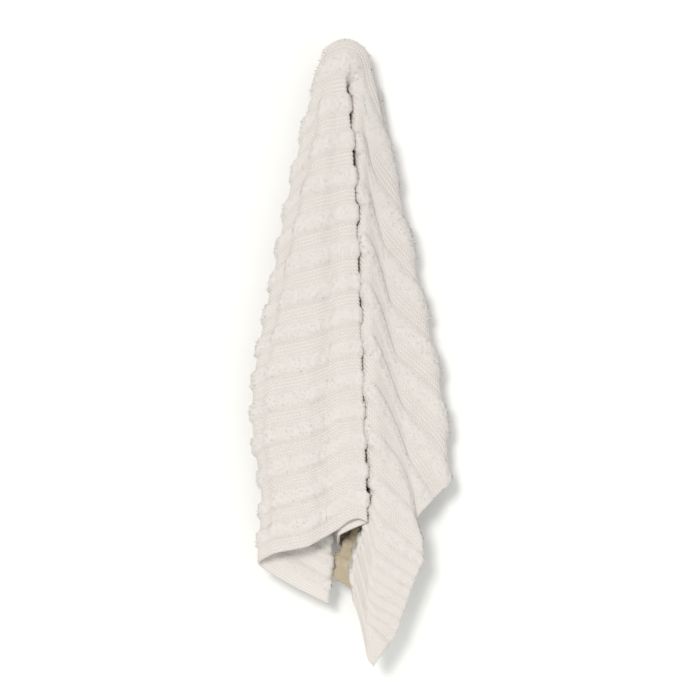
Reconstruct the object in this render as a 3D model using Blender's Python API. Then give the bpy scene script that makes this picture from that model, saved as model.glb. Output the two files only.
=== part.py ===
"""Chenille throw blanket hanging from one point: a single sheet of knitted cloth with raised pile bands.

The cloth is described twice. Flat, a point is u along the bands and v across them, both measured from the
point that the throw hangs by. Hung, that point lies at its own distance from the hanging point, in the
direction that the folds give to its cloth angle. Metres, +Z up, front of the throw towards -Y.
"""

import math

import bmesh
import bpy
import numpy as np
from mathutils.kdtree import KDTree

# The flat cloth: its four edges, measured from the point that it hangs by.
LEFT_EDGE_U = 0.722
RIGHT_EDGE_U = -0.979
FRONT_HEM_V = 1.158
BACK_HEM_V = -0.143

# The bands: knit and chenille alternate, and the cloth's weight draws them out towards the hanging point.
KNIT_BANDS = 17
HEM_BAND_PITCH = 0.0671
PITCH_GROWTH = 0.0020
FIRST_BAND_V = 1.1385
TOP_BAND = 14
CREST_SHARES = (0.3, 0.7)

# How far each skin lies from the middle of the cloth. The pile stands higher on the face than on the lining.
KNIT_HALF = 0.0022
CHENILLE_FACE = 0.0085
CHENILLE_LINING = 0.0060

# The dome over the hanging point.
DOME_HALF_WIDTH = 0.051
DOME_HALF_DEPTH = 0.036
DEPTH_FOLDS = (0.050, 0.170)
SIDE_FOLDS = (0.030, 0.140)
CLOTH_RISE = 0.0065

# Distances from the hanging point at which the fold table gives its values.
LEVELS = (0.12, 0.24, 0.56, 0.97, 1.12, 1.27, 1.42)
DEPTH_SCALE = (0.58, 0.88, 0.98, 1.0, 1.0, 1.0, 0.9)

# One row for each fold line, from the right back edge of the cloth round the front to the left back edge.
# Columns: name, cloth angle in degrees at each level, side place in mm at each level,
# depth in mm just before and just after the line.
FOLDS = (
    ("flap_middle_right", (-180, -180, -180, -180, -180, -180, -180), (8, 6, 0, 0, 0, 0, 0), (54, 54)),
    ("right_edge", (-142, -129, -107, -101, -101, -101, -101), (54, 44, 66, 150, 150, 150, 150), (54, 54)),
    ("right_back_fold", (-122, -110, -98, -91, -91, -91, -91), (78, 94, 150, 210, 210, 210, 210), (53, 38)),
    ("right_lining_fold", (-106, -96, -86, -78, -78, -78, -78), (34, 56, 84, 108, 108, 108, 108), (36, 17)),
    ("right_rim", (-90, -82, -71, -63.5, -63, -63, -63), (74, 98, 166, 243, 250, 250, 250), (15, -4)),
    ("right_valley", (-74, -70, -63, -57, -57, -57, -57), (52, 60, 98, 146, 168, 180, 176), (-20, -20)),
    ("tail_flank", (-61, -58, -54, -51, -50.5, -50, -43), (38, 46, 80, 120, 154, 188, 128), (-40, -40)),
    ("centre_crest", (-53, -51, -47.5, -47, -46.5, -44, -39.5), (26, 35, 54, 78, 84, 66, 54), (-49, -49)),
    ("tail_left_step", (-45, -45, -43.5, -44, -43, -31, -31.5), (11, 23, 38, 52, 61, 20, 28), (-47, 2)),
    ("hidden_left_fold", (-35, -36, -39.5, -40, -38, -27.6, -28.2), (17, 29, 45, 59, 50, -26, -26), (2, 14)),
    ("hidden_right_fold", (-27, -27, -29, -29, -27, -22, -22), (30, 44, 68, 92, 88, 50, 40), (16, 30)),
    ("inner_fold", (-14, -13, -15, -17, -17, -17, -17), (-4, -10, -18, -20, -18, -16, -16), (31, -56)),
    ("slit_lip", (-1.5, -3, -4, -5, -7, -9, -9), (14, 21, 32, 46, 51, 56, 56), (-57, -67)),
    ("front_roll", (3, 4, 4, 4, 4.5, 5, 5), (2, 4, 2, 8, 13, 18, 18), (-70, -70)),
    ("crease_right", (7, 8, 8, 9, 11, 12.5, 12.5), (-6, -10, -14, -20, -16, -12, -12), (-68, -68)),
    ("front_crease", (10, 11, 11, 13, 14.5, 15, 15), (-11, -18, -28, -40, -40, -40, -40), (-61, -56)),
    ("left_panel", (17, 17, 17, 18.5, 19.2, 19.6, 19.6), (-26, -40, -66, -88, -88, -88, -88), (-68, -68)),
    ("left_step", (32, 28, 26, 24, 23.3, 22.9, 22.9), (-48, -68, -135, -190, -174, -180, -180), (-60, -48)),
    ("left_rim", (58, 50, 36, 27.5, 26.5, 25.5, 25.5), (-72, -100, -165, -221, -200, -210, -210), (-36, -14)),
    ("left_lining_fold", (78, 68, 54, 43, 38.5, 34.9, 30.8), (-30, -42, -42, -42, -42, -30, -40), (-8, 9)),
    ("left_back_fold", (98, 86, 70, 58, 54, 50, 50), (-66, -96, -132, -170, -168, -165, -165), (10, 26)),
    ("left_rear_fold", (117, 105, 85, 76, 73, 70, 70), (-20, -30, -42, -42, -42, -42, -42), (27, 45)),
    ("left_edge", (142, 129, 105, 102, 102, 102, 102), (-14, -18, -80, -120, -120, -120, -120), (46, 46)),
    ("flap_middle_left", (180, 180, 180, 180, 180, 180, 180), (8, 6, 0, 0, 0, 0, 0), (54, 54)),
)

# Fold lines that bulge forward of their depth in the middle of the throw, by so many mm at each level.
BULGES = {
    "right_valley": (8, 12, 8, 6, 6, 6, 4),
    "tail_flank": (0, 0, 3, 3, -2, -4, 0),
    "centre_crest": (5, 10, 16, 16, 6, 0, 0),
    "tail_left_step": (5, 10, 16, 16, 6, 0, 0),
}
NO_BULGE = (0, 0, 0, 0, 0, 0, 0)

# How finely the drape is worked out before the cloth is laid on it.
REACH_END = 1.56
REACH_STEP = 0.006
ANGLE_STEP = 0.5
FOLD_ROUNDING = 0.010
MAX_ROUNDING_DEG = 8.0

# The grid of the solid. Columns crowd where the cloth turns.
COLUMNS = 58
ROW_SAMPLES = 480
TURN_WEIGHT = 0.065
COLUMN_SMOOTHING = 3

# Where a skin faces another layer or the inside of a sharp bend it is pressed in.
LAYER_REACH = 0.018
LAYER_CLOTH_DISTANCE = 0.030
LAYER_SAMPLES = (260, 200)
SIDEWAYS_SHARE = 0.25
GAP_SHARE = 0.33
BEND_SHARE = 0.42

CLOTH_COLOUR = (0.80, 0.74, 0.67, 1.0)
CLOTH_ROUGHNESS = 0.95


def smooth_step(value):
    """Rises from 0 to 1 with flat ends."""
    t = np.clip(value, 0.0, 1.0)
    return t * t * (3.0 - 2.0 * t)


def share_of(reach, span):
    """How far the folds have formed at one reach: not at all where the span starts, fully where it ends."""
    return smooth_step((reach - span[0]) / (span[1] - span[0]))


def between_levels(values, reach):
    """Cubic curves through each row's values at the levels, read at one reach."""
    levels = np.array(LEVELS)
    values = np.asarray(values, float)
    slopes = np.gradient(values, levels, axis=-1)
    at = min(max(reach, levels[0]), levels[-1])
    i = min(int(np.searchsorted(levels, at, side="right")) - 1, len(levels) - 2)
    span = levels[i + 1] - levels[i]
    t = (at - levels[i]) / span
    start = (1 + 2 * t) * (1 - t) ** 2 * values[..., i] + t * (1 - t) ** 2 * span * slopes[..., i]
    end = t * t * (3 - 2 * t) * values[..., i + 1] + t * t * (t - 1) * span * slopes[..., i + 1]
    return start + end


def dome(reach, angles):
    """Side and depth of the cloth on the dome, for each cloth angle in radians."""
    quarter = math.pi / 2
    wide = DOME_HALF_WIDTH * math.sin(min(reach / (DOME_HALF_WIDTH * quarter), 1.0) * quarter)
    deep = DOME_HALF_DEPTH * math.sin(min(reach / (DOME_HALF_DEPTH * quarter), 1.0) * quarter)
    return -wide * np.sin(angles), -deep * np.cos(angles)


def fold_path(reach, degrees):
    """Side and depth of the folded cloth at one reach: straight passes with a turn at each fold line."""
    lines = between_levels([row[1] for row in FOLDS], reach)
    sides = between_levels([row[2] for row in FOLDS], reach) / 1000
    scale = between_levels(DEPTH_SCALE, reach) / 1000
    at, side, depth = [], [], []
    for i, row in enumerate(FOLDS):
        bulge = between_levels(BULGES.get(row[0], NO_BULGE), reach) / 1000
        before, after = row[3][0] * scale - bulge, row[3][1] * scale - bulge
        half_turn = math.degrees(abs(after - before) / 2 / max(reach, LEVELS[0]))
        at += [lines[i] - half_turn, lines[i] + half_turn]
        side += [sides[i], sides[i]]
        depth += [before, after]
    return np.interp(degrees, at, side), np.interp(degrees, at, depth)


def rounded(values, sigma):
    """The values averaged with a bell of that many samples, which rounds the turns."""
    half = max(1, math.ceil(3 * sigma))
    bell = np.exp(-0.5 * (np.arange(-half, half + 1) / sigma) ** 2)
    before = 2 * values[0] - values[half:0:-1]
    after = 2 * values[-1] - values[-2 : -half - 2 : -1]
    padded = np.concatenate([before, values, after])
    return np.convolve(padded, bell / bell.sum(), mode="valid")


def hang_table():
    """Side, depth and height of the hung cloth for every reach and cloth angle."""
    reaches = np.arange(0.0, REACH_END + REACH_STEP, REACH_STEP)
    degrees = np.arange(-180.0, 180.0 + ANGLE_STEP, ANGLE_STEP)
    side = np.zeros((len(reaches), len(degrees)))
    depth = np.zeros_like(side)
    for i, reach in enumerate(reaches):
        dome_side, dome_depth = dome(reach, np.radians(degrees))
        fold_side, fold_depth = fold_path(reach, degrees)
        rounding = min(math.degrees(FOLD_ROUNDING / max(reach, REACH_STEP)), MAX_ROUNDING_DEG) / ANGLE_STEP
        parted = share_of(reach, DEPTH_FOLDS)
        spread = share_of(reach, SIDE_FOLDS)
        side[i] = (1 - spread) * dome_side + spread * rounded(fold_side, rounding)
        depth[i] = (1 - parted) * dome_depth + parted * rounded(fold_depth, rounding)
    drop = np.sqrt(np.maximum(reaches[:, None] ** 2 - side**2 - depth**2, 0.0))
    height = CLOTH_RISE - drop
    return np.stack([side, depth, height], axis=-1)


def hung(table, u, v):
    """Where the cloth's points lie once it hangs."""
    row = np.hypot(u, v) / REACH_STEP
    column = (np.degrees(np.arctan2(u, v)) + 180.0) / ANGLE_STEP
    i = np.clip(row.astype(int), 0, table.shape[0] - 2)
    j = np.clip(column.astype(int), 0, table.shape[1] - 2)
    a = (row - i)[..., None]
    b = (column - j)[..., None]
    near = table[i, j] * (1 - b) + table[i, j + 1] * b
    far = table[i + 1, j] * (1 - b) + table[i + 1, j + 1] * b
    return near * (1 - a) + far * a


def band_centres():
    """v of the middle of each knit band, from the front hem to the back hem."""
    centres = [FIRST_BAND_V]
    for band in range(KNIT_BANDS - 1):
        steps = band if band < TOP_BAND else KNIT_BANDS - 1 - band
        centres.append(centres[-1] - HEM_BAND_PITCH - PITCH_GROWTH * steps)
    return centres


def cloth_rows():
    """v of each row with 0 for knit or 1 for chenille: one row on a knit band, two on a chenille band."""
    centres = band_centres()
    rows = [(FRONT_HEM_V, 0)]
    for centre, following in zip(centres, centres[1:]):
        pitch = centre - following
        rows += [(centre, 0)]
        rows += [(centre - share * pitch, 1) for share in CREST_SHARES]
    rows += [(centres[-1], 0), (BACK_HEM_V, 0)]
    return rows


def row_columns(table, v):
    """u of each column on one row, closer together where the hung row turns."""
    u = np.linspace(LEFT_EDGE_U, RIGHT_EDGE_U, ROW_SAMPLES)
    points = hung(table, u, np.full_like(u, v))
    steps = np.diff(points, axis=0)
    lengths = np.linalg.norm(steps, axis=1)
    directions = steps / np.maximum(lengths, 1e-9)[:, None]
    turns = np.arccos(np.clip((directions[1:] * directions[:-1]).sum(axis=1), -1.0, 1.0))
    weights = lengths + TURN_WEIGHT * np.convolve(np.pad(turns, (0, 1)), np.ones(7) / 7, mode="same")
    share = np.concatenate([[0.0], np.cumsum(weights)]) / weights.sum()
    return np.interp(np.linspace(0.0, 1.0, COLUMNS), share, u)


def layer_gaps(table, places, normals, u, v):
    """Distance from each point to the nearest other layer of cloth, on its face and on its lining side."""
    along = np.linspace(RIGHT_EDGE_U, LEFT_EDGE_U, LAYER_SAMPLES[0])
    across = np.linspace(BACK_HEM_V, FRONT_HEM_V, LAYER_SAMPLES[1])
    dense_u, dense_v = (grid.ravel() for grid in np.meshgrid(along, across))
    tree = KDTree(len(dense_u))
    for index, place in enumerate(hung(table, dense_u, dense_v)):
        tree.insert(place, index)
    tree.balance()
    face, lining = np.full(len(places), LAYER_REACH), np.full(len(places), LAYER_REACH)
    for k, place in enumerate(places):
        for other, index, distance in tree.find_range(place, LAYER_REACH):
            if math.hypot(dense_u[index] - u[k], dense_v[index] - v[k]) < LAYER_CLOTH_DISTANCE:
                continue
            ahead = float(np.dot(np.array(other) - place, normals[k]))
            if ahead > -SIDEWAYS_SHARE * distance:
                face[k] = min(face[k], distance)
            if ahead < SIDEWAYS_SHARE * distance:
                lining[k] = min(lining[k], distance)
    return face, lining


def grid_triangles(points):
    """Three grid numbers for each triangle, with every square cut along its shorter diagonal."""
    rows, columns = points.shape[:2]
    triangles = []
    for i, j in np.ndindex(rows - 1, columns - 1):
        corners = [(i, j), (i, j + 1), (i + 1, j + 1), (i + 1, j)]
        rising = np.linalg.norm(points[i, j] - points[i + 1, j + 1])
        falling = np.linalg.norm(points[i, j + 1] - points[i + 1, j])
        if falling < rising:
            corners = corners[1:] + corners[:1]
        a, b, c, d = (row * columns + column for row, column in corners)
        triangles += [(a, b, c), (a, c, d)]
    return np.array(triangles)


def triangle_normals(places, triangles):
    """Unit normal of each triangle."""
    a, b, c = (places[triangles[:, corner]] for corner in range(3))
    normals = np.cross(b - a, c - a)
    return normals / np.maximum(np.linalg.norm(normals, axis=-1, keepdims=True), 1e-12)


def point_normals(places, triangles):
    """Unit normal of each point, the mean of its triangles' normals."""
    of_triangles = triangle_normals(places, triangles)
    normals = np.zeros_like(places)
    for corner in range(3):
        np.add.at(normals, triangles[:, corner], of_triangles)
    return normals / np.maximum(np.linalg.norm(normals, axis=-1, keepdims=True), 1e-12)


def bend_limits(places, triangles, normals):
    """How far the face and the lining may stand off at each point before its sharpest inward bend closes."""
    face, lining = np.full(len(places), 1.0), np.full(len(places), 1.0)
    for first, second in ((0, 1), (1, 2), (2, 0)):
        a, b = triangles[:, first], triangles[:, second]
        chord = places[b] - places[a]
        turn = np.arccos(np.clip((normals[a] * normals[b]).sum(axis=-1), -1.0, 1.0))
        limit = np.linalg.norm(chord, axis=-1) / np.maximum(2 * np.tan(turn / 2), 1e-6)
        opening = ((normals[b] - normals[a]) * chord).sum(axis=-1) > 0
        for end in (a, b):
            np.minimum.at(lining, end[opening], limit[opening])
            np.minimum.at(face, end[~opening], limit[~opening])
    return face, lining


def cloth_grid(table):
    """Places, triangles, normals and both skins' distances of the grid, row by row from the front hem."""
    rows = cloth_rows()
    columns = np.array([row_columns(table, v) for v, _ in rows])
    for _ in range(COLUMN_SMOOTHING):
        columns[1:-1] = (columns[:-2] + 2 * columns[1:-1] + columns[2:]) / 4
    v = np.repeat([[v] for v, _ in rows], COLUMNS, axis=1)
    pile = np.repeat([[p] for _, p in rows], COLUMNS, axis=1).ravel()
    points = hung(table, columns, v)
    triangles = grid_triangles(points)
    places = points.reshape(-1, 3)
    normals = point_normals(places, triangles)
    gaps = layer_gaps(table, places, normals, columns.ravel(), v.ravel())
    bends = bend_limits(places, triangles, normals)
    skins = []
    for loft, gap, bend in zip((CHENILLE_FACE, CHENILLE_LINING), gaps, bends):
        skin = KNIT_HALF + pile * (loft - KNIT_HALF)
        skins.append(np.minimum(np.minimum(skin, GAP_SHARE * gap), 2 * BEND_SHARE * bend))
    return places, triangles, normals, skins


def cloth_material():
    material = bpy.data.materials.new("cream_chenille")
    material.use_nodes = True
    shader = material.node_tree.nodes["Principled BSDF"]
    shader.inputs["Base Color"].default_value = CLOTH_COLOUR
    shader.inputs["Roughness"].default_value = CLOTH_ROUGHNESS
    shader.inputs["Metallic"].default_value = 0.0
    return material


def sheet_object(name, places, triangles, normals, skins):
    """A closed sheet: one skin on each side of the grid, joined round its edges."""
    body = bmesh.new()
    front = [body.verts.new(place) for place in places + normals * skins[0][:, None]]
    back = [body.verts.new(place) for place in places - normals * skins[1][:, None]]
    sides = {}
    for a, b, c in triangles.tolist():
        body.faces.new((front[a], front[b], front[c]))
        body.faces.new((back[c], back[b], back[a]))
        for first, second in ((a, b), (b, c), (c, a)):
            if sides.pop((second, first), None) is None:
                sides[(first, second)] = True
    for a, b in sides:
        body.faces.new((front[b], front[a], back[a]))
        body.faces.new((front[b], back[a], back[b]))
    bmesh.ops.recalc_face_normals(body, faces=body.faces)
    mesh = bpy.data.meshes.new(name)
    body.to_mesh(mesh)
    body.free()
    mesh.shade_smooth()
    sheet = bpy.data.objects.new(name, mesh)
    bpy.context.collection.objects.link(sheet)
    return sheet


def main():
    for old in list(bpy.data.objects):
        bpy.data.objects.remove(old)
    table = hang_table()
    throw = sheet_object("throw_blanket", *cloth_grid(table))
    throw.data.materials.append(cloth_material())


main()
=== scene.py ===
"""Looks of a chenille throw blanket that hangs from one point in front of a white wall.

Flat, a point of the cloth is u along the bands and v across them, both measured from the point that the
throw hangs by. The same fold table as the solid's says where each point hangs. Metres, +Z up, front of the
throw towards -Y.
"""

import math

import bpy
import numpy as np
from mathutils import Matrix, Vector
from mathutils.kdtree import KDTree

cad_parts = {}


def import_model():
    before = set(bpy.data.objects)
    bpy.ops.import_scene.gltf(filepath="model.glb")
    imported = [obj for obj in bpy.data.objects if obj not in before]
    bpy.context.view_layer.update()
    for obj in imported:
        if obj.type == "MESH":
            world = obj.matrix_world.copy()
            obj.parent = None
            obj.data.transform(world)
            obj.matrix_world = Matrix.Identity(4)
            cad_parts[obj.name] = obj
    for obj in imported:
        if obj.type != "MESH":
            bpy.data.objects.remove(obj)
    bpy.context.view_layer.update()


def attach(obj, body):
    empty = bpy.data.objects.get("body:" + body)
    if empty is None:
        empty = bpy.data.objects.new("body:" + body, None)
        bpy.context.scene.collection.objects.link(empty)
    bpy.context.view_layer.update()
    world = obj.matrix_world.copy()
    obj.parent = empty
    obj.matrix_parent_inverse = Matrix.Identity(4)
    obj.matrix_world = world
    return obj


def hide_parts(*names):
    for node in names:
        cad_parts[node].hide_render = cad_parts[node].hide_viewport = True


# The two sides of the cloth.
FACE = 1.0
LINING = -1.0

# The flat cloth: its four edges, measured from the point that it hangs by.
LEFT_EDGE_U = 0.722
RIGHT_EDGE_U = -0.979
FRONT_HEM_V = 1.158
BACK_HEM_V = -0.143

# The bands: knit and chenille alternate, and the cloth's weight draws them out towards the hanging point.
KNIT_BANDS = 17
HEM_BAND_PITCH = 0.0671
PITCH_GROWTH = 0.0020
FIRST_BAND_V = 1.1385
TOP_BAND = 14

# How far each skin lies from the middle of the cloth. The pile stands higher on the face than on the lining.
KNIT_HALF = 0.0022
CHENILLE_HALF = {FACE: 0.0085, LINING: 0.0060}

# The dome over the hanging point, and the reaches over which the folds form in depth and sideways.
DOME_HALF_WIDTH = 0.051
DOME_HALF_DEPTH = 0.036
DEPTH_FOLDS = (0.050, 0.170)
SIDE_FOLDS = (0.030, 0.140)
CLOTH_RISE = 0.0065

# Distances from the hanging point at which the fold table gives its values, and the share of its depths that
# the folds have there.
LEVELS = (0.12, 0.24, 0.56, 0.97, 1.12, 1.27, 1.42)
DEPTH_SCALE = (0.58, 0.88, 0.98, 1.0, 1.0, 1.0, 0.9)

# One row for each fold line, from the right back edge of the cloth round the front to the left back edge.
# Columns: name, cloth angle in degrees at each level, side place in mm at each level,
# depth in mm just before and just after the line.
FOLDS = (
    ("flap_middle_right", (-180, -180, -180, -180, -180, -180, -180), (8, 6, 0, 0, 0, 0, 0), (54, 54)),
    ("right_edge", (-142, -129, -107, -101, -101, -101, -101), (54, 44, 66, 150, 150, 150, 150), (54, 54)),
    ("right_back_fold", (-122, -110, -98, -91, -91, -91, -91), (78, 94, 150, 210, 210, 210, 210), (53, 38)),
    ("right_lining_fold", (-106, -96, -86, -78, -78, -78, -78), (34, 56, 84, 108, 108, 108, 108), (36, 17)),
    ("right_rim", (-90, -82, -71, -63.5, -63, -63, -63), (74, 98, 166, 243, 250, 250, 250), (15, -4)),
    ("right_valley", (-74, -70, -63, -57, -57, -57, -57), (52, 60, 98, 146, 168, 180, 176), (-20, -20)),
    ("tail_flank", (-61, -58, -54, -51, -50.5, -50, -43), (38, 46, 80, 120, 154, 188, 128), (-40, -40)),
    ("centre_crest", (-53, -51, -47.5, -47, -46.5, -44, -39.5), (26, 35, 54, 78, 84, 66, 54), (-49, -49)),
    ("tail_left_step", (-45, -45, -43.5, -44, -43, -31, -31.5), (11, 23, 38, 52, 61, 20, 28), (-47, 2)),
    ("hidden_left_fold", (-35, -36, -39.5, -40, -38, -27.6, -28.2), (17, 29, 45, 59, 50, -26, -26), (2, 14)),
    ("hidden_right_fold", (-27, -27, -29, -29, -27, -22, -22), (30, 44, 68, 92, 88, 50, 40), (16, 30)),
    ("inner_fold", (-14, -13, -15, -17, -17, -17, -17), (-4, -10, -18, -20, -18, -16, -16), (31, -56)),
    ("slit_lip", (-1.5, -3, -4, -5, -7, -9, -9), (14, 21, 32, 46, 51, 56, 56), (-57, -67)),
    ("front_roll", (3, 4, 4, 4, 4.5, 5, 5), (2, 4, 2, 8, 13, 18, 18), (-70, -70)),
    ("crease_right", (7, 8, 8, 9, 11, 12.5, 12.5), (-6, -10, -14, -20, -16, -12, -12), (-68, -68)),
    ("front_crease", (10, 11, 11, 13, 14.5, 15, 15), (-11, -18, -28, -40, -40, -40, -40), (-61, -56)),
    ("left_panel", (17, 17, 17, 18.5, 19.2, 19.6, 19.6), (-26, -40, -66, -88, -88, -88, -88), (-68, -68)),
    ("left_step", (32, 28, 26, 24, 23.3, 22.9, 22.9), (-48, -68, -135, -190, -174, -180, -180), (-60, -48)),
    ("left_rim", (58, 50, 36, 27.5, 26.5, 25.5, 25.5), (-72, -100, -165, -221, -200, -210, -210), (-36, -14)),
    ("left_lining_fold", (78, 68, 54, 43, 38.5, 34.9, 30.8), (-30, -42, -42, -42, -42, -30, -40), (-8, 9)),
    ("left_back_fold", (98, 86, 70, 58, 54, 50, 50), (-66, -96, -132, -170, -168, -165, -165), (10, 26)),
    ("left_rear_fold", (117, 105, 85, 76, 73, 70, 70), (-20, -30, -42, -42, -42, -42, -42), (27, 45)),
    ("left_edge", (142, 129, 105, 102, 102, 102, 102), (-14, -18, -80, -120, -120, -120, -120), (46, 46)),
    ("flap_middle_left", (180, 180, 180, 180, 180, 180, 180), (8, 6, 0, 0, 0, 0, 0), (54, 54)),
)

# Fold lines that bulge forward of their depth in the middle of the throw, by so many mm at each level.
BULGES = {
    "right_valley": (8, 12, 8, 6, 6, 6, 4),
    "tail_flank": (0, 0, 3, 3, -2, -4, 0),
    "centre_crest": (5, 10, 16, 16, 6, 0, 0),
    "tail_left_step": (5, 10, 16, 16, 6, 0, 0),
}
NO_BULGE = (0, 0, 0, 0, 0, 0, 0)

# How finely the drape is worked out before the cloth is laid on it, and how its turns are rounded.
REACH_END = 1.56
REACH_STEP = 0.006
ANGLE_STEP = 0.5
FOLD_ROUNDING = 0.010
MAX_ROUNDING_DEG = 8.0
BELL_REACH = 3
SLOPE_STEP = 0.004
MM_PER_M = 1000

# Squeezed cloth shows less relief than open cloth: the power of its spread across the bands.
SQUEEZE_POWER = 1.5

# Where a skin faces another layer or the inside of a sharp bend it is pressed in.
LAYER_REACH = 0.018
LAYER_CLOTH_DISTANCE = 0.030
LAYER_SAMPLES = (171, 111)
GAP_SHARE = 0.66
BEND_SHARE = 0.6
SIDEWAYS_SHARE = 0.25
LIMIT_SOFTENING = 2
BEND_SOFTENING = 1

# The radius that stands for no bend, and the least turn and length that anything is divided by.
UNBENT_RADIUS = 1.0
LEAST_TURN = 1e-4
TINY = 1e-12

# The sheet's own grid.
SHEET_COLUMNS = 300
ROWS_PER_BAND = 10
HEM_ROWS = 3

# The border between pile and knit: its place and width as shares of a band, and how ragged it is
# (share of a band, size of one tooth, noise seed).
PILE_BORDER = 0.225
PILE_BORDER_WIDTH = 0.08
BORDER_TEETH = (0.022, 0.009, 3)

# Soft random values: how many cells the noise has each way before it repeats.
NOISE_CELLS = 256

# Knit rows: wavy raised yarns along each knit band. Their edges are sunk into the cloth.
YARNS_PER_BAND = 5
YARN_SPAN = 0.54
YARN_WAVE = 0.0080
YARN_SWING = 0.0024
YARN_HALF_WIDTH = 0.0023
YARN_HEIGHT = 0.0025
YARN_SUNK = -0.0003
YARN_STEPS = {FACE: 4, LINING: 2}
LINING_RELIEF = 0.5
ROW_SAMPLES = 1600

# Each side's knit bands are made as two pieces.
LOW_BANDS = range(8)
HIGH_BANDS = range(8, KNIT_BANDS)

# How the wave differs from yarn to yarn and from band to band, in radians, and how its swing drifts along the
# band (share, size of one drift).
YARN_PHASE = 0.9
BAND_PHASE = 2.1
SWING_DRIFT = (0.35, 0.030)

# Along a yarn its height swells from half to all of it, a little ahead of the wave, in radians.
LOOP_MEAN = 0.75
LOOP_SWELL = 0.25
LOOP_LEAD = 0.8

# Round the outside of a sharp turn the pile fans out: the turn radii for all of it and for none, the deeper
# pile there, and the tufts' added share of height.
FAN_RADII = (0.008, 0.040)
FAN_LOFT = 0.0042
FAN_RISE = 1.8

# Chenille pile: soft lumps (width, height, noise seed) and short leaning tufts.
PILE_LUMPS = ((0.040, 0.0010, 5), (0.017, 0.0014, 7), (0.009, 0.0015, 9))
TUFT_SPACING = 0.0068
TUFT_LENGTH = 0.0052
TUFT_WIDTH = 0.0034
TUFT_SUNK = -0.0004
TUFT_SEEDS = {FACE: 11, LINING: 12}

# Tufts stand only well inside the pile, and fewer of them where the cloth is squeezed along its bands.
TUFT_PILE_SHARE = 0.6
TUFT_LEAST_SHARE = 0.15

# A tuft's size against the usual one, its foot as a share of its width, its lean as a share of its length,
# and its rise: its length times a random share that is raised to a power, so that most tufts lie low.
TUFT_SIZES = (0.7, 1.2)
TUFT_FOOT = 0.6
TUFT_LEAN = 0.7
TUFT_RISES = (0.22, 0.78)
TUFT_RISE_POWER = 1.9

# Colours: pile, knit yarn, painted shade in the gaps between the yarns, and painted shade on the cloth inside
# the slit.
PILE_TONES = ((0.745, 0.705, 0.673, 1.0), (0.785, 0.745, 0.71, 1.0))
KNIT_TONES = ((0.83, 0.79, 0.753, 1.0), (0.79, 0.75, 0.713, 1.0))
YARN_GAP_SHADE_TONE = (0.70, 0.655, 0.615, 1.0)
SLIT_SHADE_TONE = (0.55, 0.475, 0.345, 1.0)

# The cloth inside the slit, between these two fold lines, is painted with shade; over so many degrees the
# painted shade sets in.
INSIDE_LINES = ("tail_left_step", "inner_fold")
INSIDE_FADE_DEG = 2.5

# Cloth surface: matt, with a soft sheen.
CLOTH_ROUGHNESS = 0.95
CLOTH_GLOSS = 0.15
SHEEN_ROUGHNESS = 0.5
SHEEN_TINT = (1.0, 0.96, 0.92, 1.0)
PILE_SHEEN = 0.25
KNIT_SHEEN = 0.1

# The drift between two tones: the scale and detail of its noise.
TONE_DRIFT = (38.0, 3.0)

# The fine nap: the scale and depth of its noise, and its detail.
PILE_NAP = (900.0, 0.0012)
KNIT_NAP = (1400.0, 0.0006)
NAP_DETAIL = 4.0

# The pile's curls: the scale, detail and roughness of their noise, and their depth.
CURL_NOISE = (190.0, 2.0, 0.6)
CURL_DEPTH = 0.0016

# How strongly nap and curls show.
RELIEF_STRENGTH = 0.6

# Sockets of the colour mix node, whose names repeat.
MIX_SHARE = 0
MIX_FIRST = 6
MIX_SECOND = 7
MIX_RESULT = 2

# The backdrop: a white wall behind the throw and a pale floor.
WALL_TONE = (0.96, 0.965, 0.95, 1.0)
WALL_DEPTH = 0.068
WALL_HALF_WIDTH = 3.0
WALL_TOP = 1.6
FLOOR_HEIGHT = -2.1
FLOOR_FRONT = -3.0

# Lights: name, direction, strength, spread in degrees and colour. The studio round them is white.
SUNS = (
    ("key_light", (0.27, 0.88, -0.30), 1.56, 18.0, (1.0, 0.985, 0.96)),
    ("fill_light", (-0.50, 0.85, -0.10), 0.32, 70.0, (1.0, 1.0, 1.0)),
)
STUDIO_WHITE = (1.0, 1.0, 1.0, 1.0)
STUDIO_STRENGTH = 0.53

# The camera: far off and straight on, so that its field is 1.701 m wide at the throw.
VIEW_CENTRE = (0.012, -0.741)
VIEW_WIDTH = 1.701
CAMERA_DISTANCE = 14.0
SENSOR_WIDTH_MM = 36.0
CAMERA_RANGE = 60.0


def smooth_step(value):
    """Rises from 0 to 1 with flat ends."""
    t = np.clip(value, 0.0, 1.0)
    return t * t * (3.0 - 2.0 * t)


def share_of(reach, span):
    """How far the folds have formed at one reach: none at the span's first end and all at its second."""
    return smooth_step((reach - span[0]) / (span[1] - span[0]))


def between_levels(values, reach):
    """Cubic curves through each row's values at the levels, read at one reach."""
    levels = np.array(LEVELS)
    values = np.asarray(values, float)
    slopes = np.gradient(values, levels, axis=-1)
    at = min(max(reach, levels[0]), levels[-1])
    i = min(int(np.searchsorted(levels, at, side="right")) - 1, len(levels) - 2)
    span = levels[i + 1] - levels[i]
    t = (at - levels[i]) / span
    start = (1 + 2 * t) * (1 - t) ** 2 * values[..., i] + t * (1 - t) ** 2 * span * slopes[..., i]
    end = t * t * (3 - 2 * t) * values[..., i + 1] + t * t * (t - 1) * span * slopes[..., i + 1]
    return start + end


def dome(reach, angles):
    """Side and depth of the cloth on the dome, for each cloth angle in radians."""
    quarter = math.pi / 2
    wide = DOME_HALF_WIDTH * math.sin(min(reach / (DOME_HALF_WIDTH * quarter), 1.0) * quarter)
    deep = DOME_HALF_DEPTH * math.sin(min(reach / (DOME_HALF_DEPTH * quarter), 1.0) * quarter)
    return -wide * np.sin(angles), -deep * np.cos(angles)


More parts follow.
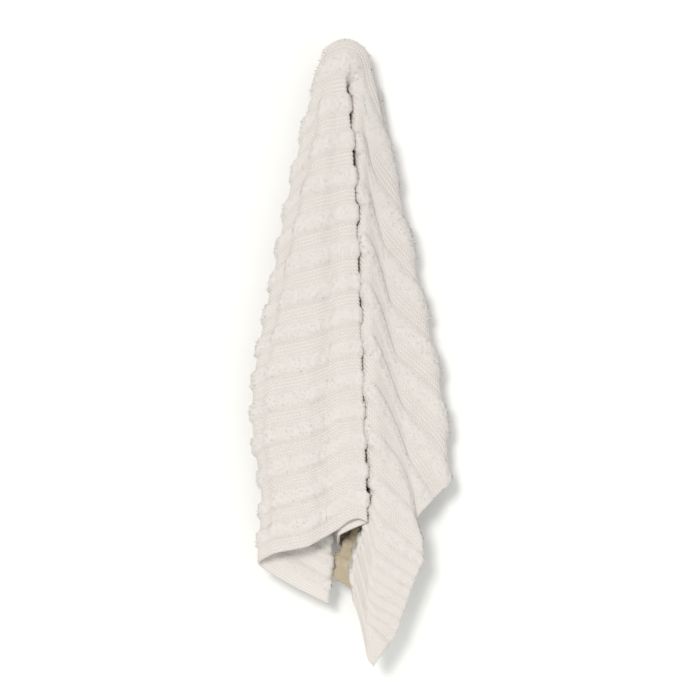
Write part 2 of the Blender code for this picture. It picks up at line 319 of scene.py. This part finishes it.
def fold_path(reach, degrees):
    """Side and depth of the folded cloth at one reach: straight passes with a turn at each fold line."""
    lines = between_levels([row[1] for row in FOLDS], reach)
    sides = between_levels([row[2] for row in FOLDS], reach) / MM_PER_M
    scale = between_levels(DEPTH_SCALE, reach) / MM_PER_M
    at, side, depth = [], [], []
    for i, row in enumerate(FOLDS):
        bulge = between_levels(BULGES.get(row[0], NO_BULGE), reach) / MM_PER_M
        before, after = row[3][0] * scale - bulge, row[3][1] * scale - bulge
        half_turn = math.degrees(abs(after - before) / 2 / max(reach, LEVELS[0]))
        at += [lines[i] - half_turn, lines[i] + half_turn]
        side += [sides[i], sides[i]]
        depth += [before, after]
    return np.interp(degrees, at, side), np.interp(degrees, at, depth)


def rounded(values, sigma):
    """The values averaged with a bell of that many samples, which rounds the turns."""
    half = max(1, math.ceil(BELL_REACH * sigma))
    bell = np.exp(-0.5 * (np.arange(-half, half + 1) / sigma) ** 2)
    before = 2 * values[0] - values[half:0:-1]
    after = 2 * values[-1] - values[-2 : -half - 2 : -1]
    padded = np.concatenate([before, values, after])
    return np.convolve(padded, bell / bell.sum(), mode="valid")


def hang_table():
    """Side, depth and height of the hung cloth for every reach and cloth angle."""
    reaches = np.arange(0.0, REACH_END + REACH_STEP, REACH_STEP)
    degrees = np.arange(-180.0, 180.0 + ANGLE_STEP, ANGLE_STEP)
    side = np.zeros((len(reaches), len(degrees)))
    depth = np.zeros_like(side)
    for i, reach in enumerate(reaches):
        dome_side, dome_depth = dome(reach, np.radians(degrees))
        fold_side, fold_depth = fold_path(reach, degrees)
        bend_deg = math.degrees(FOLD_ROUNDING / max(reach, REACH_STEP))
        rounding = min(bend_deg, MAX_ROUNDING_DEG) / ANGLE_STEP
        parted = share_of(reach, DEPTH_FOLDS)
        spread = share_of(reach, SIDE_FOLDS)
        side[i] = (1 - spread) * dome_side + spread * rounded(fold_side, rounding)
        depth[i] = (1 - parted) * dome_depth + parted * rounded(fold_depth, rounding)
    drop = np.sqrt(np.maximum(reaches[:, None] ** 2 - side**2 - depth**2, 0.0))
    height = CLOTH_RISE - drop
    return np.stack([side, depth, height], axis=-1)


def hung(table, u, v):
    """Where the cloth's points lie once it hangs."""
    row = np.hypot(u, v) / REACH_STEP
    column = (np.degrees(np.arctan2(u, v)) + 180.0) / ANGLE_STEP
    i = np.clip(row.astype(int), 0, table.shape[0] - 2)
    j = np.clip(column.astype(int), 0, table.shape[1] - 2)
    a = (row - i)[..., None]
    b = (column - j)[..., None]
    near = table[i, j] * (1 - b) + table[i, j + 1] * b
    far = table[i + 1, j] * (1 - b) + table[i + 1, j + 1] * b
    return near * (1 - a) + far * a


def cloth_normals(table, u, v):
    """Unit normals of the hung cloth, out of its face side."""
    step = SLOPE_STEP
    along = hung(table, u - step, v) - hung(table, u + step, v)
    across = hung(table, u, v - step) - hung(table, u, v + step)
    normals = np.cross(along, across)
    return normals / np.maximum(np.linalg.norm(normals, axis=-1, keepdims=True), TINY)


def spread_across(table, u, v):
    """How open the cloth hangs across its bands: 1 where it is flat, less where it is squeezed together."""
    step = hung(table, u, v + SLOPE_STEP) - hung(table, u, v - SLOPE_STEP)
    return np.clip(np.linalg.norm(step, axis=-1) / (2 * SLOPE_STEP), 0.0, 1.0) ** SQUEEZE_POWER


def spread_along(table, u, v):
    """How open the cloth hangs along its bands."""
    step = hung(table, u + SLOPE_STEP, v) - hung(table, u - SLOPE_STEP, v)
    return np.clip(np.linalg.norm(step, axis=-1) / (2 * SLOPE_STEP), 0.0, 1.0)


def band_centres():
    """v of the middle of each knit band, from the front hem to the back hem."""
    centres = [FIRST_BAND_V]
    for band in range(KNIT_BANDS - 1):
        steps = band if band < TOP_BAND else KNIT_BANDS - 1 - band
        centres.append(centres[-1] - HEM_BAND_PITCH - PITCH_GROWTH * steps)
    return np.array(centres)


def band_place(v):
    """Which band a point is on: whole numbers are knit band middles and halves are chenille band middles."""
    centres = band_centres()
    return np.interp(-v, -centres, np.arange(len(centres)))


def value_noise(x, y, scale, seed):
    """Soft random values from -1 to 1 that change over about one scale."""
    cells = np.random.default_rng(seed).uniform(-1.0, 1.0, (NOISE_CELLS, NOISE_CELLS))
    gx = x / scale + NOISE_CELLS / 2
    gy = y / scale + NOISE_CELLS / 2
    i, j = np.floor(gx).astype(int), np.floor(gy).astype(int)
    a, b = smooth_step(gx - i), smooth_step(gy - j)
    next_i, next_j = (i + 1) % NOISE_CELLS, (j + 1) % NOISE_CELLS
    i, j = i % NOISE_CELLS, j % NOISE_CELLS
    low = cells[i, j] * (1 - a) + cells[next_i, j] * a
    high = cells[i, next_j] * (1 - a) + cells[next_i, next_j] * a
    return low * (1 - b) + high * b


def pile_share(u, v):
    """1 on chenille, 0 on knit, with a slightly ragged border."""
    place = band_place(v)
    from_knit = np.abs(place - np.round(place))
    height, width, seed = BORDER_TEETH
    ragged = height * value_noise(u, v, width, seed)
    return smooth_step((from_knit + ragged - PILE_BORDER) / PILE_BORDER_WIDTH)


def slit_shade_share(u, v, side):
    """1 where shade is painted: on the face of the cloth that lies hidden inside the slit; 0 elsewhere."""
    reach = np.hypot(u, v)
    degrees = np.degrees(np.arctan2(u, v))
    levels = np.array(LEVELS)
    first, last = (np.interp(reach, levels, row[1]) for row in FOLDS if row[0] in INSIDE_LINES)
    after_first = smooth_step((degrees - first) / INSIDE_FADE_DEG)
    before_last = smooth_step((last - degrees) / INSIDE_FADE_DEG)
    below_dome = smooth_step((reach - levels[0]) / (levels[1] - levels[0]))
    return after_first * before_last * below_dome * (side == FACE)


def softened(values, rounds):
    """The grid with each value averaged with its neighbours."""
    for _ in range(rounds):
        values[1:-1] = (values[:-2] + 2 * values[1:-1] + values[2:]) / 4
        values[:, 1:-1] = (values[:, :-2] + 2 * values[:, 1:-1] + values[:, 2:]) / 4
    return values


class Cloth:
    """The hung cloth: places and both skins at any flat point."""

    def __init__(self):
        """Hangs the cloth and finds how far each skin may stand out at each sample point."""
        self.table = hang_table()
        u, v = np.meshgrid(
            np.linspace(RIGHT_EDGE_U, LEFT_EDGE_U, LAYER_SAMPLES[0]),
            np.linspace(BACK_HEM_V, FRONT_HEM_V, LAYER_SAMPLES[1]),
            indexing="ij",
        )
        gaps = self.layer_gaps(u, v)
        bends = self.bend_radii(u, v)
        self.limits, self.bends = {}, {}
        for side, gap, bend in zip((FACE, LINING), gaps, bends):
            self.limits[side] = softened(np.minimum(GAP_SHARE * gap, BEND_SHARE * bend), LIMIT_SOFTENING)
            self.bends[side] = softened(np.minimum(bend, FAN_RADII[1]), BEND_SOFTENING)

    def layer_gaps(self, u, v):
        """Distance to the nearest other layer on the face side and on the lining side."""
        flat_u, flat_v = u.ravel(), v.ravel()
        places = hung(self.table, flat_u, flat_v)
        normals = cloth_normals(self.table, flat_u, flat_v)
        tree = KDTree(len(places))
        for index, place in enumerate(places):
            tree.insert(place, index)
        tree.balance()
        face, lining = np.full(len(places), LAYER_REACH), np.full(len(places), LAYER_REACH)
        for k, place in enumerate(places):
            for other, index, distance in tree.find_range(place, LAYER_REACH):
                if math.hypot(flat_u[index] - flat_u[k], flat_v[index] - flat_v[k]) < LAYER_CLOTH_DISTANCE:
                    continue
                ahead = float(np.dot(np.array(other) - place, normals[k]))
                if ahead > -SIDEWAYS_SHARE * distance:
                    face[k] = min(face[k], distance)
                if ahead < SIDEWAYS_SHARE * distance:
                    lining[k] = min(lining[k], distance)
        return face.reshape(u.shape), lining.reshape(u.shape)

    def bend_radii(self, u, v):
        """Radius of the sharpest inward bend on the face side and on the lining side."""
        face, lining = np.full(u.shape, UNBENT_RADIUS), np.full(u.shape, UNBENT_RADIUS)
        for du, dv in ((SLOPE_STEP, 0.0), (0.0, SLOPE_STEP)):
            chord = hung(self.table, u + du, v + dv) - hung(self.table, u - du, v - dv)
            ahead = cloth_normals(self.table, u + du, v + dv)
            behind = cloth_normals(self.table, u - du, v - dv)
            change = ahead - behind
            turn = np.maximum(np.linalg.norm(change, axis=-1), LEAST_TURN)
            radius = np.linalg.norm(chord, axis=-1) / turn
            opening = (chord * change).sum(axis=-1) > 0
            lining = np.where(opening, np.minimum(lining, radius), lining)
            face = np.where(opening, face, np.minimum(face, radius))
        return face, lining

    def read(self, grid, u, v):
        """The grid's value at any flat point."""
        x = (u - RIGHT_EDGE_U) / (LEFT_EDGE_U - RIGHT_EDGE_U) * (LAYER_SAMPLES[0] - 1)
        y = (v - BACK_HEM_V) / (FRONT_HEM_V - BACK_HEM_V) * (LAYER_SAMPLES[1] - 1)
        i = np.clip(x.astype(int), 0, LAYER_SAMPLES[0] - 2)
        j = np.clip(y.astype(int), 0, LAYER_SAMPLES[1] - 2)
        a, b = x - i, y - j
        near = grid[i, j] * (1 - b) + grid[i, j + 1] * b
        far = grid[i + 1, j] * (1 - b) + grid[i + 1, j + 1] * b
        return near * (1 - a) + far * a

    def fan(self, u, v, side):
        """1 where a side's pile fans out, on the outside of a sharp turn, and 0 on flat cloth."""
        sharp, flat = FAN_RADII
        radius = self.read(self.bends[-side], u, v)
        return np.clip(1.0 - (radius - sharp) / (flat - sharp), 0.0, 1.0)

    def skin_depth(self, u, v, side):
        """How far one skin lies from the middle of the cloth."""
        pile = pile_share(u, v)
        lumps = sum(height * value_noise(u, v, width, seed) for width, height, seed in PILE_LUMPS)
        loft = CHENILLE_HALF[side] - KNIT_HALF + lumps + FAN_LOFT * self.fan(u, v, side)
        return np.minimum(KNIT_HALF + pile * loft, self.read(self.limits[side], u, v))

    def skin(self, u, v, side, lift=0.0):
        """Points on one side of the cloth, lifted off its skin by a height."""
        reach = self.skin_depth(u, v, side) + lift
        return hung(self.table, u, v) + side * reach[..., None] * cloth_normals(self.table, u, v)


def mesh_object(name, places, faces, material, uvs=None, values=None):
    """A mesh object from arrays of points and faces of one size, with named values in its points."""
    places = np.asarray(places, np.float32).reshape(-1, 3)
    faces = np.asarray(faces, np.int32)
    count, corners = faces.shape
    mesh = bpy.data.meshes.new(name)
    mesh.vertices.add(len(places))
    mesh.vertices.foreach_set("co", places.ravel())
    mesh.loops.add(faces.size)
    mesh.loops.foreach_set("vertex_index", faces.ravel())
    mesh.polygons.add(count)
    mesh.polygons.foreach_set("loop_start", np.arange(count, dtype=np.int32) * corners)
    mesh.polygons.foreach_set("loop_total", np.full(count, corners, dtype=np.int32))
    if uvs is not None:
        layer = mesh.uv_layers.new(name="cloth")
        layer.data.foreach_set("uv", np.asarray(uvs, np.float32)[faces.ravel()].ravel())
    for word, numbers in (values or {}).items():
        attribute = mesh.attributes.new(word, "FLOAT", "POINT")
        attribute.data.foreach_set("value", np.asarray(numbers, np.float32))
    mesh.update(calc_edges=True)
    mesh.validate()
    mesh.shade_smooth()
    mesh.materials.append(material)
    piece = bpy.data.objects.new(name, mesh)
    bpy.context.collection.objects.link(piece)
    return piece


def sheet_rows():
    """v of each row of the sheet, evenly spread over each band."""
    centres = band_centres()
    first = np.linspace(FRONT_HEM_V, centres[0], HEM_ROWS, endpoint=False)
    inner = [np.linspace(a, b, ROWS_PER_BAND, endpoint=False) for a, b in zip(centres, centres[1:])]
    last = np.linspace(centres[-1], BACK_HEM_V, HEM_ROWS)
    return np.concatenate([first, *inner, last])


def throw_sheet(cloth, material):
    """The whole cloth as one closed sheet: face, lining and four edges."""
    columns = np.linspace(LEFT_EDGE_U, RIGHT_EDGE_U, SHEET_COLUMNS)
    v, u = np.meshgrid(sheet_rows(), columns, indexing="ij")
    face = cloth.skin(u, v, FACE)
    lining = cloth.skin(u, v, LINING)
    places = np.concatenate([face.reshape(-1, 3), lining.reshape(-1, 3)])

    index = np.arange(u.size).reshape(u.shape)
    a, b, c, d = index[:-1, :-1], index[:-1, 1:], index[1:, 1:], index[1:, :-1]
    face_quads = np.stack([a, b, c, d], -1).reshape(-1, 4)
    lining_quads = np.stack([d, c, b, a], -1).reshape(-1, 4) + u.size
    rim = np.concatenate([index[0, :], index[1:, -1], index[-1, -2::-1], index[-2:0:-1, 0]])
    following = np.roll(rim, -1)
    edge_quads = np.stack([following, rim, rim + u.size, following + u.size], -1)
    quads = np.concatenate([face_quads, lining_quads, edge_quads])

    uvs = np.tile(np.stack([u.ravel(), v.ravel()], -1), (2, 1))
    # Painted shade in the gaps between the knit yarns (less where the rows are squeezed, half as much on the
    # lining), and painted shade inside the slit.
    yarn_gap_shade = ((1.0 - pile_share(u, v)) * spread_across(cloth.table, u, v)).ravel()
    values = {
        "yarn_gap_shade": np.concatenate([yarn_gap_shade, LINING_RELIEF * yarn_gap_shade]),
        "inside": np.concatenate([slit_shade_share(u, v, side).ravel() for side in (FACE, LINING)]),
    }
    return mesh_object("throw_sheet", places, quads, material, uvs, values)


def along_band(cloth, centre, side):
    """Evenly spread points along one hung knit band: their distance from its left edge, and their u."""
    dense = np.linspace(LEFT_EDGE_U, RIGHT_EDGE_U, ROW_SAMPLES)
    hung_row = hung(cloth.table, dense, np.full_like(dense, centre))
    lengths = np.linalg.norm(np.diff(hung_row, axis=0), axis=1)
    run = np.concatenate([[0.0], np.cumsum(lengths)])
    steps = int(run[-1] / YARN_WAVE * YARN_STEPS[side])
    along = np.linspace(0.0, run[-1], steps + 1)
    return along, np.interp(along, run, dense)


def yarn_lines(cloth, u, middle, wave, side, drift_seed):
    """One wavy yarn's lower edge, raised middle and upper edge, each as v and lift."""
    share, width = SWING_DRIFT
    swing = YARN_SWING * np.sin(wave) * (1.0 + share * value_noise(u, u, width, drift_seed))
    middle_v = np.clip(middle + swing, BACK_HEM_V + YARN_HALF_WIDTH, FRONT_HEM_V - YARN_HALF_WIDTH)
    relief = YARN_HEIGHT if side == FACE else LINING_RELIEF * YARN_HEIGHT
    loop_share = LOOP_MEAN + LOOP_SWELL * np.sin(wave + LOOP_LEAD)
    loops = relief * spread_across(cloth.table, u, middle_v) * loop_share
    return (
        (middle_v + YARN_HALF_WIDTH, YARN_SUNK),
        (middle_v, loops),
        (middle_v - YARN_HALF_WIDTH, YARN_SUNK),
    )


def knit_yarns(cloth, name, side, bands, material):
    """Wavy raised yarns along the knit bands of one side."""
    centres = band_centres()
    places, faces, uvs, start = [], [], [], 0
    for band in bands:
        pitch = abs(centres[max(band, 1)] - centres[max(band, 1) - 1])
        along, u = along_band(cloth, centres[band], side)
        for yarn in range(YARNS_PER_BAND):
            middle = centres[band] + ((yarn + 0.5) / YARNS_PER_BAND - 0.5) * YARN_SPAN * pitch
            wave = 2 * math.pi * along / YARN_WAVE + (YARN_PHASE * yarn + BAND_PHASE * band)
            for line_v, lift in yarn_lines(cloth, u, middle, wave, side, band):
                places.append(cloth.skin(u, line_v, side, lift))
                uvs.append(np.stack([u, line_v], -1))
            for strip in range(2):
                a = start + np.arange(u.size - 1) + strip * u.size
                b = a + u.size
                quad = [a, a + 1, b + 1, b] if side == FACE else [b, b + 1, a + 1, a]
                faces.append(np.stack(quad, -1))
            start += 3 * u.size
    uvs = np.concatenate(uvs)
    # Painted shade on the yarns inside the slit.
    values = {"inside": slit_shade_share(*uvs.T, side)}
    return mesh_object(name, np.concatenate(places), np.concatenate(faces), material, uvs, values)


def tuft_feet(cloth, random):
    """Flat places of the tufts, scattered over the chenille bands."""
    across = int((LEFT_EDGE_U - RIGHT_EDGE_U) / TUFT_SPACING)
    down = int((FRONT_HEM_V - BACK_HEM_V) / TUFT_SPACING)
    u, v = np.meshgrid(np.arange(across) + 0.5, np.arange(down) + 0.5)
    u = RIGHT_EDGE_U + (u.ravel() + random.uniform(-0.5, 0.5, u.size)) * TUFT_SPACING
    v = BACK_HEM_V + (v.ravel() + random.uniform(-0.5, 0.5, v.size)) * TUFT_SPACING
    kept = (u > RIGHT_EDGE_U + TUFT_WIDTH) & (u < LEFT_EDGE_U - TUFT_WIDTH)
    kept &= (v > BACK_HEM_V + TUFT_WIDTH) & (v < FRONT_HEM_V - TUFT_WIDTH)
    kept &= pile_share(u, v) > TUFT_PILE_SHARE
    kept &= random.uniform(0.0, 1.0, u.size) < spread_along(cloth.table, u, v) + TUFT_LEAST_SHARE
    return u[kept], v[kept]


def chenille_tufts(cloth, name, side, material):
    """Short leaning tufts, each a three-sided spike, all over the chenille bands of one side."""
    random = np.random.default_rng(TUFT_SEEDS[side])
    u, v = tuft_feet(cloth, random)
    heading = random.uniform(0.0, 2 * math.pi, u.size)
    size = random.uniform(*TUFT_SIZES, u.size)
    places = []
    for corner in range(3):
        turn = heading + 2 * corner * math.pi / 3
        du = TUFT_WIDTH * TUFT_FOOT * size * np.cos(turn)
        dv = TUFT_WIDTH * TUFT_FOOT * size * np.sin(turn)
        places.append(cloth.skin(u + du, v + dv, side, TUFT_SUNK))
    lean = TUFT_LEAN * TUFT_LENGTH * size
    low_rise = TUFT_LENGTH * random.uniform(*TUFT_RISES, u.size) ** TUFT_RISE_POWER
    rise = low_rise * (1.0 + FAN_RISE * cloth.fan(u, v, side))
    places.append(cloth.skin(u + lean * np.cos(heading), v + lean * np.sin(heading), side, rise))

    foot = np.arange(u.size) * 4
    tip = foot + 3
    faces = []
    for first, second in ((0, 1), (1, 2), (2, 0)):
        if side == FACE:
            first, second = second, first
        faces.append(np.stack([foot + first, foot + second, tip], -1))
    uvs = np.repeat(np.stack([u, v], -1), 4, axis=0)
    # Painted shade on the tufts inside the slit.
    values = {"inside": slit_shade_share(*uvs.T, side)}
    points = np.stack(places, axis=1).reshape(-1, 3)
    return mesh_object(name, points, np.concatenate(faces), material, uvs, values)


def noise_node(tree, place, scale, detail, roughness=0.5):
    """A noise texture over the object's own places."""
    noise = tree.nodes.new("ShaderNodeTexNoise")
    noise.inputs["Scale"].default_value = scale
    noise.inputs["Detail"].default_value = detail
    noise.inputs["Roughness"].default_value = roughness
    tree.links.new(place, noise.inputs["Vector"])
    return noise.outputs["Fac"]


def relief_node(tree, height, depth, onto=None):
    """A bump of one height over the plain surface, or over another bump."""
    bump = tree.nodes.new("ShaderNodeBump")
    bump.inputs["Strength"].default_value = RELIEF_STRENGTH
    bump.inputs["Distance"].default_value = depth
    tree.links.new(height, bump.inputs["Height"])
    if onto is not None:
        tree.links.new(onto, bump.inputs["Normal"])
    return bump.outputs["Normal"]


def mix_node(tree, share, second):
    """A colour mix that turns to its second colour where the share rises to 1."""
    mix = tree.nodes.new("ShaderNodeMix")
    mix.data_type = "RGBA"
    mix.inputs[MIX_SECOND].default_value = second
    tree.links.new(share, mix.inputs[MIX_SHARE])
    return mix


def point_value(tree, name):
    """A named value of the mesh's points."""
    value = tree.nodes.new("ShaderNodeAttribute")
    value.attribute_name = name
    return value.outputs["Fac"]


def cloth_material(name, tones, nap, sheen, yarn_gap_shade=None, curly=False):
    """Matt cloth with a drift between two tones, painted shade inside the slit and a fine nap, and if asked
    painted shade between the yarns and curls.
    """
    material = bpy.data.materials.new(name)
    material.use_nodes = True
    tree = material.node_tree
    shader = tree.nodes["Principled BSDF"]
    shader.inputs["Roughness"].default_value = CLOTH_ROUGHNESS
    shader.inputs["Specular IOR Level"].default_value = CLOTH_GLOSS
    shader.inputs["Sheen Weight"].default_value = sheen
    shader.inputs["Sheen Roughness"].default_value = SHEEN_ROUGHNESS
    shader.inputs["Sheen Tint"].default_value = SHEEN_TINT
    place = tree.nodes.new("ShaderNodeTexCoord").outputs["Object"]

    drift = mix_node(tree, noise_node(tree, place, *TONE_DRIFT), tones[1])
    drift.inputs[MIX_FIRST].default_value = tones[0]
    colour = drift.outputs[MIX_RESULT]
    # Painted shade: on the cloth inside the slit, and in the gaps between the knit yarns where asked.
    overlays = [("inside", SLIT_SHADE_TONE)]
    if yarn_gap_shade is not None:
        overlays.insert(0, ("yarn_gap_shade", yarn_gap_shade))
    for word, tone in overlays:
        mix = mix_node(tree, point_value(tree, word), tone)
        tree.links.new(colour, mix.inputs[MIX_FIRST])
        colour = mix.outputs[MIX_RESULT]
    tree.links.new(colour, shader.inputs["Base Color"])

    curls = None
    if curly:
        curls = relief_node(tree, noise_node(tree, place, *CURL_NOISE), CURL_DEPTH)
    nap_scale, nap_depth = nap
    relief = relief_node(tree, noise_node(tree, place, nap_scale, NAP_DETAIL), nap_depth, curls)
    tree.links.new(relief, shader.inputs["Normal"])
    return material


def wall_material():
    """White paint that is clear from behind."""
    material = bpy.data.materials.new("white_wall")
    material.use_nodes = True
    nodes, links = material.node_tree.nodes, material.node_tree.links
    shader = nodes["Principled BSDF"]
    shader.inputs["Base Color"].default_value = WALL_TONE
    shader.inputs["Roughness"].default_value = 1.0
    shader.inputs["Specular IOR Level"].default_value = 0.0
    clear = nodes.new("ShaderNodeBsdfTransparent")
    sides = nodes.new("ShaderNodeNewGeometry")
    mix = nodes.new("ShaderNodeMixShader")
    links.new(sides.outputs["Backfacing"], mix.inputs["Fac"])
    links.new(shader.outputs["BSDF"], mix.inputs[1])
    links.new(clear.outputs["BSDF"], mix.inputs[2])
    links.new(mix.outputs["Shader"], nodes["Material Output"].inputs["Surface"])
    return material


def stage_plane(name, near, far, material):
    """A flat backdrop between two edges given by their depth and height."""
    wide = WALL_HALF_WIDTH
    corners = [(-wide, *near), (wide, *near), (wide, *far), (-wide, *far)]
    plane = mesh_object(name, corners, [(0, 1, 2, 3)], material)


def add_sun(name, towards, strength, spread_deg, colour):
    """A soft distant light that shines in one direction."""
    data = bpy.data.lights.new(name, "SUN")
    data.energy = strength
    data.angle = math.radians(spread_deg)
    data.color = colour
    light = bpy.data.objects.new(name, data)
    light.rotation_euler = Vector(towards).to_track_quat("-Z", "Y").to_euler()
    bpy.context.collection.objects.link(light)


def add_stage():
    """The wall, the floor and the lights."""
    wall = wall_material()
    stage_plane("white_wall", (WALL_DEPTH, FLOOR_HEIGHT), (WALL_DEPTH, WALL_TOP), wall)
    stage_plane("pale_floor", (FLOOR_FRONT, FLOOR_HEIGHT), (WALL_DEPTH, FLOOR_HEIGHT), wall)
    for sun in SUNS:
        add_sun(*sun)
    world = bpy.data.worlds.new("studio")
    world.use_nodes = True
    background = world.node_tree.nodes["Background"]
    background.inputs["Color"].default_value = STUDIO_WHITE
    background.inputs["Strength"].default_value = STUDIO_STRENGTH
    bpy.context.scene.world = world
    bpy.context.scene.view_settings.view_transform = "Standard"


def add_camera():
    """The camera, which looks straight at the front of the throw."""
    data = bpy.data.cameras.new("front_camera")
    data.sensor_width = SENSOR_WIDTH_MM
    data.lens = SENSOR_WIDTH_MM * CAMERA_DISTANCE / VIEW_WIDTH
    data.clip_end = CAMERA_RANGE
    camera = bpy.data.objects.new("front_camera", data)
    camera.location = (VIEW_CENTRE[0], -CAMERA_DISTANCE, VIEW_CENTRE[1])
    camera.rotation_euler = (math.pi / 2, 0.0, 0.0)
    bpy.context.collection.objects.link(camera)
    bpy.context.scene.camera = camera


def main():
    """Dresses the frame's throw with its sheet, knit rows and pile, and sets the stage."""
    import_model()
    cloth = Cloth()
    sheet_tone = cloth_material("throw_cream", PILE_TONES, PILE_NAP, PILE_SHEEN, YARN_GAP_SHADE_TONE, curly=True)
    pile_tone = cloth_material("chenille_cream", PILE_TONES, PILE_NAP, PILE_SHEEN, curly=True)
    knit_tone = cloth_material("knit_cream", KNIT_TONES, KNIT_NAP, KNIT_SHEEN)
    sheet = throw_sheet(cloth, sheet_tone)
    details = []
    for side, word in ((FACE, "face"), (LINING, "lining")):
        details.append(knit_yarns(cloth, "knit_rows_low_" + word, side, LOW_BANDS, knit_tone))
        details.append(knit_yarns(cloth, "knit_rows_high_" + word, side, HIGH_BANDS, knit_tone))
        details.append(chenille_tufts(cloth, "chenille_pile_" + word, side, pile_tone))
    for piece in [sheet] + details:
        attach(piece, "root")
    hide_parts("throw_blanket")
    add_stage()
    add_camera()


main()
